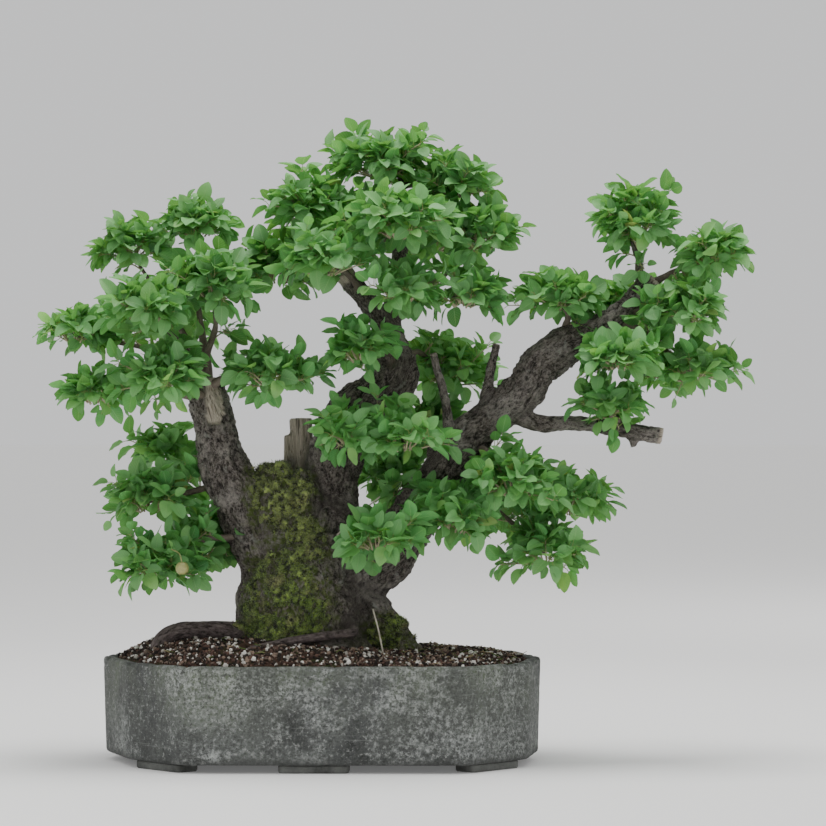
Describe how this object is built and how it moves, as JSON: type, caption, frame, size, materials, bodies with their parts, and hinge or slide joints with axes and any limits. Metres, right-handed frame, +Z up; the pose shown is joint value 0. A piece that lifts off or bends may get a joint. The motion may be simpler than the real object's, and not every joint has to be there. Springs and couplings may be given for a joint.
{
  "type": "bonsai tree in a pot",
  "caption": "Old broad-leaved bonsai with heavy cut-back limbs, leafy pads, moss and granular soil in a low oval-octagonal stoneware pot on slab feet.",
  "frame": {"origin": "middle of the object's box, on the surface that the feet stand on", "axes": "+Z up; +X to the right seen from the front; +Y away from the front"},
  "size_m": [0.7972, 0.3498, 0.715],
  "materials": {
    "pot_stoneware": "matte",
    "foot_stoneware": "matte",
    "screen_plastic": "satin",
    "granular_soil": "matte",
    "bark": "matte",
    "moss": "matte",
    "foliage": "satin",
    "fruit_skin": "satin",
    "dry_straw": "matte"
  },
  "bodies": {
    "root": {"pot": "pot_stoneware", "foot_front_left": "foot_stoneware", "foot_front_middle": "foot_stoneware", "foot_front_right": "foot_stoneware", "foot_back_right": "foot_stoneware", "foot_back_middle": "foot_stoneware", "foot_back_left": "foot_stoneware", "drain_screen_left": "screen_plastic", "drain_screen_right": "screen_plastic", "trunk": "bark", "dry_stalk_soil": "dry_straw", "dry_stalk_fork": "dry_straw", "soil": "granular_soil", "moss_trunk": "moss", "moss_buttress": "moss", "foliage_left_tip": "foliage", "foliage_left_high": "foliage", "foliage_left_top": "foliage", "foliage_left_front": "foliage", "foliage_left_inner": "foliage", "foliage_left_low_tip": "foliage", "foliage_left_low": "foliage", "foliage_left_right": "foliage", "foliage_left_back": "foliage", "foliage_low_left_upper": "foliage", "foliage_low_left_front": "foliage", "foliage_low_left_inner": "foliage", "foliage_low_left_back": "foliage", "foliage_top_left": "foliage", "foliage_top_centre": "foliage", "foliage_top_right": "foliage", "foliage_top_right_low": "foliage", "foliage_top_front": "foliage", "foliage_top_left_low": "foliage", "foliage_top_right_hang": "foliage", "foliage_top_front_low": "foliage", "foliage_top_bridge": "foliage", "foliage_top_back_left": "foliage", "foliage_top_back_right": "foliage", "foliage_middle_left": "foliage", "foliage_middle_low": "foliage", "foliage_middle_front": "foliage", "foliage_middle_back_high": "foliage", "foliage_middle_back_low": "foliage", "foliage_fork_back": "foliage", "foliage_low_right_inner": "foliage", "foliage_low_right_front": "foliage", "foliage_low_right_outer": "foliage", "foliage_low_right_hang": "foliage", "foliage_low_spray": "foliage", "foliage_low_right_back": "foliage", "foliage_right_apex": "foliage", "foliage_right_tip": "foliage", "foliage_right_inner": "foliage", "foliage_right_outer": "foliage", "foliage_right_front": "foliage", "foliage_right_low": "foliage", "foliage_right_under": "foliage", "foliage_right_back": "foliage", "fruit": "fruit_skin"}
  },
  "joints": []
}
